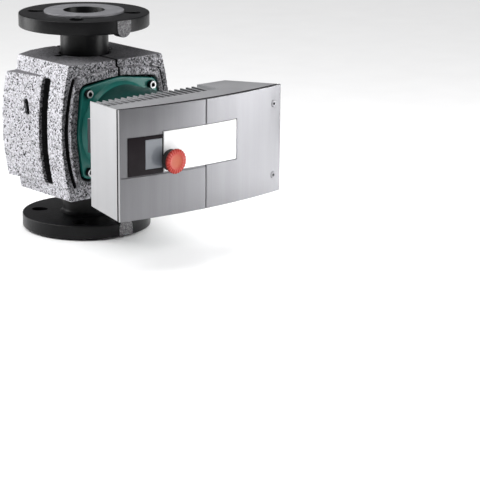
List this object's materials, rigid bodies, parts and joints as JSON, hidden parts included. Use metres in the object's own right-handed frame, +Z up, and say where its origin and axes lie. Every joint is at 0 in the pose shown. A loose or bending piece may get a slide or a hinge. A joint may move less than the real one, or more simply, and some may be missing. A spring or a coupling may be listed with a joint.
{
  "type": "circulator pump",
  "caption": "Flanged in-line circulator with canned-rotor motor, removable foam insulation shells and a box-shaped electronic control module with press-and-turn knob.",
  "frame": {"origin": "centre of the lower (inlet) flange face, on the pipe axis", "axes": "+Z up along the pipe axis from inlet to outlet flange; the motor axis points to -Y, so -Y is the front with the display; +X is to the right seen from the front"},
  "size_m": [0.252, 0.348, 0.28],
  "materials": {
    "coated_iron": "cathodic dip coating, satin black",
    "stainless": "turned stainless",
    "steel": "zinc plated",
    "carbon": "ground carbon",
    "rubber": "moulded",
    "green_paint": "semi-gloss teal green paint on cast metal",
    "foam": "moulded expanded bead foam, light grey with black specks",
    "copper": "enamelled copper wire",
    "aluminium": "die-cast, fine grain",
    "brushed_aluminium": "vertically brushed",
    "black_plastic": "moulded",
    "smoked_plastic": "smoked, smooth",
    "red_plastic": "moulded red",
    "white_panel": "blank white film",
    "lcd_grey": "unlit grey display",
    "board_green": "solder mask"
  },
  "bodies": {
    "pump": {"pump_housing": "coated_iron", "wear_ring": "stainless", "housing_o_ring": "rubber", "bearing_plate": "stainless", "front_bearing": "carbon", "rear_bearing": "carbon", "rotor_can": "stainless", "motor_housing": "green_paint", "motor_screw_1": "steel", "motor_screw_2": "steel", "motor_screw_3": "steel", "motor_screw_4": "steel", "stator_core": "steel", "stator_coil_1": "copper", "stator_coil_2": "copper", "stator_coil_3": "copper", "stator_coil_4": "copper", "stator_coil_5": "copper", "stator_coil_6": "copper", "control_cover": "brushed_aluminium", "terminal_cover": "brushed_aluminium", "cover_screw_upper": "steel", "cover_screw_lower": "steel", "display_window": "smoked_plastic", "lcd_display": "lcd_grey", "label_panel": "white_panel", "encoder_body": "steel", "circuit_board": "board_green", "capacitor": "black_plastic", "terminal_block": "black_plastic", "heat_sink": "aluminium", "control_housing": "aluminium", "cable_gland_1": "black_plastic", "gland_nut_1": "black_plastic", "cable_gland_2": "black_plastic", "gland_nut_2": "black_plastic"},
    "rotor": {"shaft": "stainless", "impeller": "stainless", "impeller_nut": "stainless", "rotor_core": "steel"},
    "encoder_stem": {"encoder_plunger": "black_plastic"},
    "knob": {"control_knob": "red_plastic"},
    "left_insulation": {"insulation_left": "foam"},
    "right_insulation": {"insulation_right": "foam"}
  },
  "joints": [
    {"name": "rotor_spin", "type": "hinge", "parent": "pump", "child": "rotor", "pos_m": [0, -0.1, 0.14], "axis": [0, -1, 0], "continuous": true},
    {"name": "knob_press", "type": "slide", "parent": "pump", "child": "encoder_stem", "axis": [0, 1, 0], "range_m": [0, 0.0012], "stiffness_N_per_m": 2500, "springref_m": -0.0008},
    {"name": "knob_turn", "type": "hinge", "parent": "encoder_stem", "child": "knob", "pos_m": [-0.0663, -0.255, 0.1414], "axis": [0, -1, 0], "continuous": true},
    {"name": "left_insulation_off", "type": "slide", "parent": "pump", "child": "left_insulation", "axis": [-1, 0, 0], "range_m": [0, 0.1]},
    {"name": "right_insulation_off", "type": "slide", "parent": "pump", "child": "right_insulation", "axis": [1, 0, 0], "range_m": [0, 0.1]}
  ]
}
